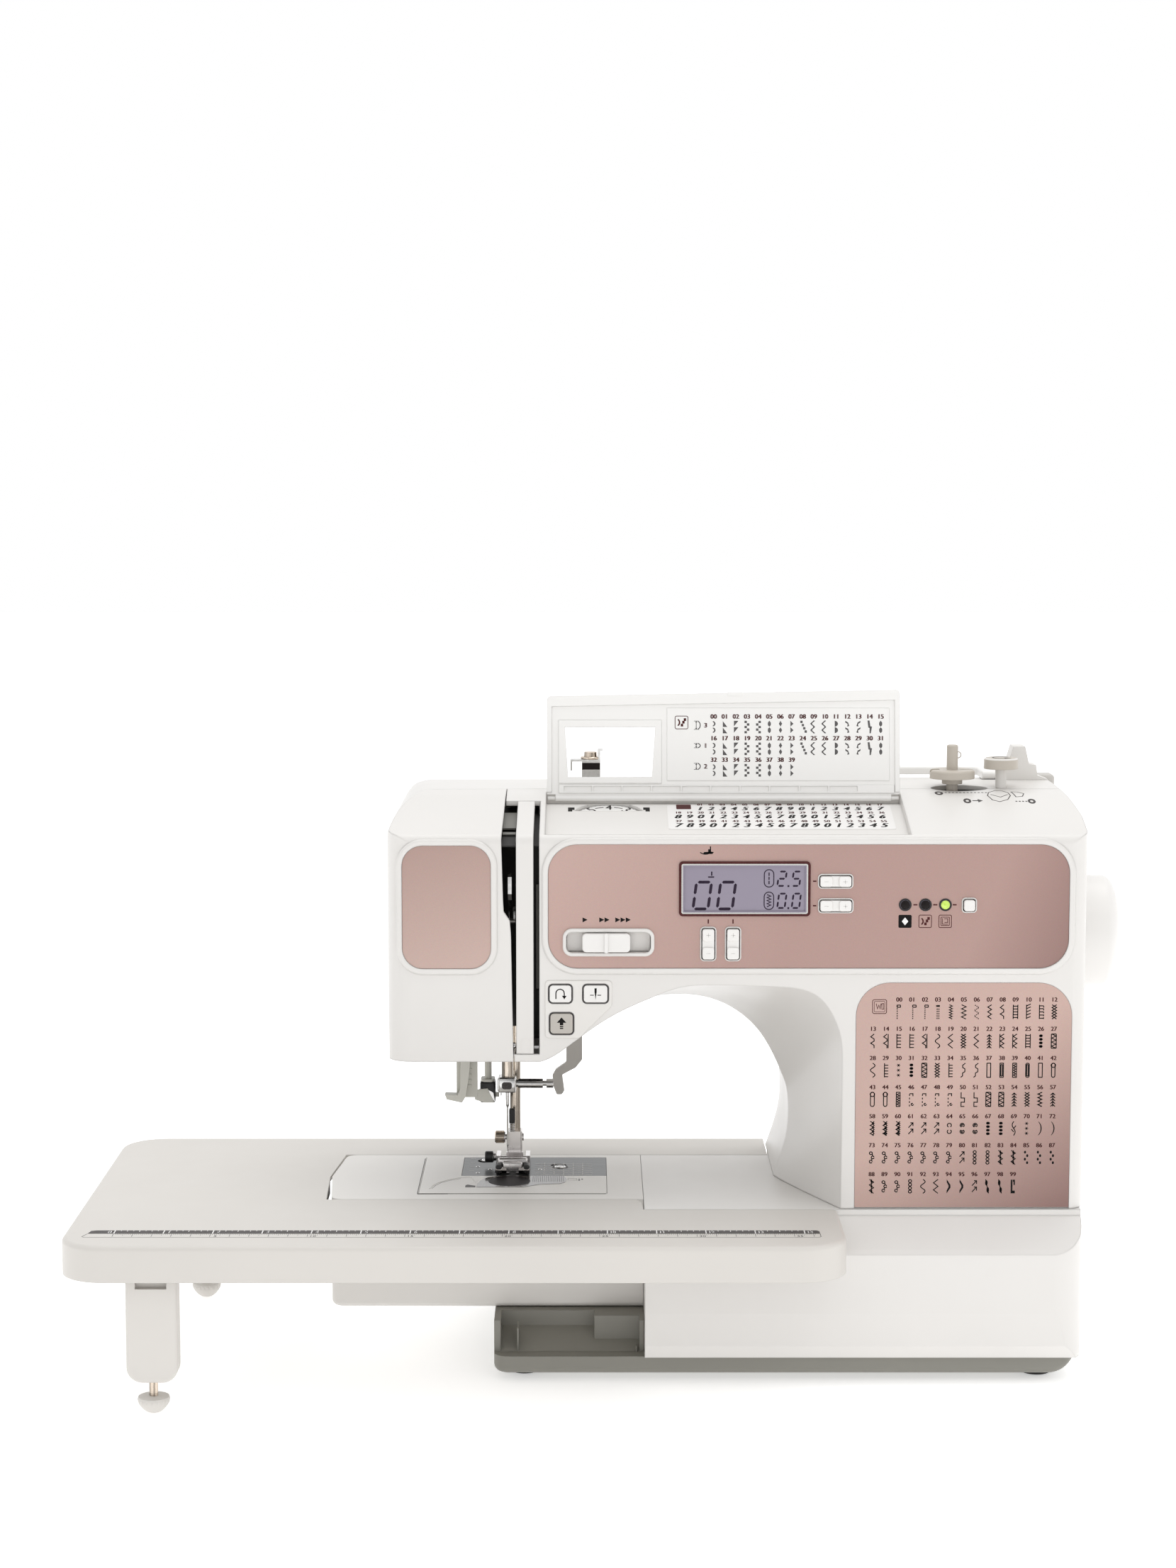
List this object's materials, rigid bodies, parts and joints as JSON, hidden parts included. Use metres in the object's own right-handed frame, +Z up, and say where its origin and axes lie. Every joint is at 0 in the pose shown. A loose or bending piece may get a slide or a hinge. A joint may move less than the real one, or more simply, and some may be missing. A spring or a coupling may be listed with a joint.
{
  "type": "computerised sewing machine",
  "caption": "Domestic free-arm sewing machine with an open top lid, a display panel, a stitch chart and a clip-on extension table on folding legs.",
  "frame": {"origin": "centre of the footprint of machine and extension table, at the level of the feet", "axes": "+X along the arm from the needle end to the handwheel, +Y from the user to the back, +Z up"},
  "size_m": [0.561, 0.245, 0.3619],
  "materials": {
    "shell": "smooth satin",
    "cover": "smooth satin",
    "tray": "satin",
    "rose": "metallic satin",
    "rubber": "matte",
    "casting": "cast",
    "steel": "brushed",
    "bright": "polished",
    "dark": "matte",
    "display": "smoked window over a grey display",
    "bezel": "metallic",
    "key": "smooth",
    "greykey": "satin",
    "beige": "satin",
    "table": "fine satin",
    "motor": "satin",
    "screw": "bright"
  },
  "bodies": {
    "machine": {"front_cover": "shell", "rear_cover": "cover", "face_cover": "shell", "guide_strip": "shell", "base_cover": "shell", "base_tray": "tray", "rubber_feet": "rubber", "free_arm_cover": "shell", "machine_frame": "casting", "needle_plate": "steel", "control_panel": "rose", "chart_panel": "rose", "badge_panel": "rose", "display_module": "display", "panel_bezels": "bezel", "button_plate": "bezel", "tension_unit": "bright", "bobbin_case": "dark", "drive_belts": "dark", "drive_motor": "motor", "winder_stop": "beige", "pretension_guide": "bright", "spool_pin": "beige", "power_inlet": "dark", "case_screws": "screw"},
    "handwheel_body": {"handwheel": "shell", "upper_shaft": "steel"},
    "lower_shaft_body": {"lower_shaft": "steel"},
    "hook_body": {"rotary_hook": "bright"},
    "motor_body": {"motor_pulley": "steel"},
    "needle_body": {"needle_bar": "bright", "needle_clamp": "bright", "needle": "bright"},
    "take_up_body": {"take_up_lever": "bright"},
    "presser_body": {"presser_bar": "bright", "foot_holder": "bright"},
    "foot_body": {"presser_foot": "bright"},
    "lifter_body": {"lifter_lever": "greykey"},
    "threader_body": {"needle_threader": "beige"},
    "lid_body": {"top_lid": "cover"},
    "bobbin_cover_body": {"bobbin_cover": "key"},
    "table_body": {"wide_table": "table"},
    "leg_front_body": {"leg_front": "table"},
    "leg_rear_body": {"leg_rear": "table"},
    "foot_front_body": {"foot_front": "beige"},
    "foot_rear_body": {"foot_rear": "beige"},
    "dial_body": {"tension_dial": "key"},
    "knob_body": {"speed_knob": "key"},
    "reverse_body": {"reverse_button": "key"},
    "needle_button_body": {"needle_button": "key"},
    "start_body": {"start_button": "greykey"},
    "mode_body": {"mode_button": "key"},
    "length_body": {"length_rocker": "key"},
    "width_body": {"width_rocker": "key"},
    "tens_body": {"tens_rocker": "key"},
    "units_body": {"units_rocker": "key"},
    "winder_body": {"winder_spindle": "beige"},
    "handle_body": {"carry_handle": "beige"},
    "switch_body": {"power_switch": "dark"},
    "feed_body": {"feed_dog": "steel"}
  },
  "joints": [
    {"name": "handwheel_turn", "type": "hinge", "parent": "machine", "child": "handwheel_body", "pos_m": [0.2695, 0.0295, 0.2281], "axis": [1, 0, 0], "continuous": true},
    {"name": "lower_shaft_turn", "type": "hinge", "parent": "machine", "child": "lower_shaft_body", "pos_m": [-0.0105, 0.0385, 0.05], "axis": [1, 0, 0], "continuous": true},
    {"name": "hook_turn", "type": "hinge", "parent": "machine", "child": "hook_body", "pos_m": [-0.0555, 0.02, 0.07], "axis": [0, 0, 1], "continuous": true},
    {"name": "motor_turn", "type": "hinge", "parent": "machine", "child": "motor_body", "pos_m": [0.1895, 0.0105, 0.118], "axis": [1, 0, 0], "continuous": true},
    {"name": "needle_stroke", "type": "slide", "parent": "machine", "child": "needle_body", "axis": [0, 0, 1], "range_m": [-0.03, 0]},
    {"name": "take_up_swing", "type": "hinge", "parent": "machine", "child": "take_up_body", "pos_m": [-0.0519, 0.0125, 0.24], "axis": [1, 0, 0], "range_deg": [0, 55]},
    {"name": "presser_lift", "type": "slide", "parent": "machine", "child": "presser_body", "axis": [0, 0, 1], "range_m": [0, 0.006]},
    {"name": "foot_tilt", "type": "hinge", "parent": "presser_body", "child": "foot_body", "pos_m": [-0.0525, 0.0525, 0.0955], "axis": [1, 0, 0], "range_deg": [-1.4, 1.4]},
    {"name": "lifter_turn", "type": "hinge", "parent": "machine", "child": "lifter_body", "pos_m": [-0.0405, 0.1045, 0.18], "axis": [0, -1, 0], "range_deg": [0, 60]},
    {"name": "threader_press", "type": "slide", "parent": "machine", "child": "threader_body", "axis": [0, 0, 1], "range_m": [-0.018, 0], "stiffness_N_per_m": 20, "springref_m": 0.02},
    {"name": "lid_hinge", "type": "hinge", "parent": "machine", "child": "lid_body", "pos_m": [0.0615, 0.0167, 0.3033], "axis": [1, 0, 0], "range_deg": [0, 112]},
    {"name": "bobbin_cover_lift", "type": "slide", "parent": "machine", "child": "bobbin_cover_body", "axis": [0, 0, 1], "range_m": [0, 0.012]},
    {"name": "table_slide", "type": "slide", "parent": "machine", "child": "table_body", "axis": [-1, 0, 0], "range_m": [0, 0.3]},
    {"name": "leg_front_fold", "type": "hinge", "parent": "table_body", "child": "leg_front_body", "pos_m": [-0.2335, -0.1075, 0.0784], "axis": [1, 0, 0], "range_deg": [0, 90]},
    {"name": "leg_rear_fold", "type": "hinge", "parent": "table_body", "child": "leg_rear_body", "pos_m": [-0.2335, 0.1065, 0.0784], "axis": [-1, 0, 0], "range_deg": [0, 90]},
    {"name": "foot_front_level", "type": "slide", "parent": "leg_front_body", "child": "foot_front_body", "axis": [0, 0, 1], "range_m": [0, 0.006]},
    {"name": "foot_rear_level", "type": "slide", "parent": "leg_rear_body", "child": "foot_rear_body", "axis": [0, 0, 1], "range_m": [0, 0.006]},
    {"name": "dial_turn", "type": "hinge", "parent": "machine", "child": "dial_body", "pos_m": [0.0008, -0.0025, 0.2962], "axis": [0, -0.2449, 0.9696], "range_deg": [-150, 150]},
    {"name": "speed_slide", "type": "slide", "parent": "machine", "child": "knob_body", "axis": [1, 0, 0], "range_m": [-0.0075, 0.0098]},
    {"name": "reverse_press", "type": "slide", "parent": "machine", "child": "reverse_body", "axis": [0, 1, 0], "range_m": [0, 0.0012], "stiffness_N_per_m": 300, "springref_m": -0.001},
    {"name": "needle_button_press", "type": "slide", "parent": "machine", "child": "needle_button_body", "axis": [0, 1, 0], "range_m": [0, 0.0012], "stiffness_N_per_m": 300, "springref_m": -0.001},
    {"name": "start_press", "type": "slide", "parent": "machine", "child": "start_body", "axis": [0, 1, 0], "range_m": [0, 0.0012], "stiffness_N_per_m": 300, "springref_m": -0.001},
    {"name": "mode_press", "type": "slide", "parent": "machine", "child": "mode_body", "axis": [0, 1, 0], "range_m": [0, 0.0008], "stiffness_N_per_m": 300, "springref_m": -0.001},
    {"name": "length_rock", "type": "hinge", "parent": "machine", "child": "length_body", "pos_m": [0.11945, -0.045, 0.2665], "axis": [0, 0, 1], "range_deg": [-3, 3], "stiffness_Nm_per_rad": 0.05},
    {"name": "width_rock", "type": "hinge", "parent": "machine", "child": "width_body", "pos_m": [0.1196, -0.045, 0.25355], "axis": [0, 0, 1], "range_deg": [-3, 3], "stiffness_Nm_per_rad": 0.05},
    {"name": "tens_rock", "type": "hinge", "parent": "machine", "child": "tens_body", "pos_m": [0.05275, -0.045, 0.23325], "axis": [1, 0, 0], "range_deg": [-3, 3], "stiffness_Nm_per_rad": 0.05},
    {"name": "units_rock", "type": "hinge", "parent": "machine", "child": "units_body", "pos_m": [0.06575, -0.045, 0.23325], "axis": [1, 0, 0], "range_deg": [-3, 3], "stiffness_Nm_per_rad": 0.05},
    {"name": "winder_turn", "type": "hinge", "parent": "machine", "child": "winder_body", "pos_m": [0.1895, 0.0325, 0.32], "axis": [0, 0, 1], "continuous": true},
    {"name": "handle_hinge", "type": "hinge", "parent": "machine", "child": "handle_body", "pos_m": [0.1345, 0.0599, 0.3114], "axis": [1, 0, 0], "range_deg": [0, 90]},
    {"name": "switch_rock", "type": "hinge", "parent": "machine", "child": "switch_body", "pos_m": [0.2491, 0.0715, 0.14], "axis": [0, 1, 0], "range_deg": [-8, 0]},
    {"name": "feed_stroke", "type": "slide", "parent": "machine", "child": "feed_body", "axis": [0, 1, 0], "range_m": [-0.0015, 0.0015]}
  ],
  "couplings": [
    {"joint": "lower_shaft_turn", "follows": "handwheel_turn", "ratio": 2},
    {"joint": "hook_turn", "follows": "handwheel_turn", "ratio": 2},
    {"joint": "motor_turn", "follows": "handwheel_turn", "ratio": 4},
    {"joint": "take_up_swing", "follows": "needle_stroke", "rad_per_m": -31.9},
    {"joint": "lifter_turn", "follows": "presser_lift", "rad_per_m": 174.5}
  ]
}
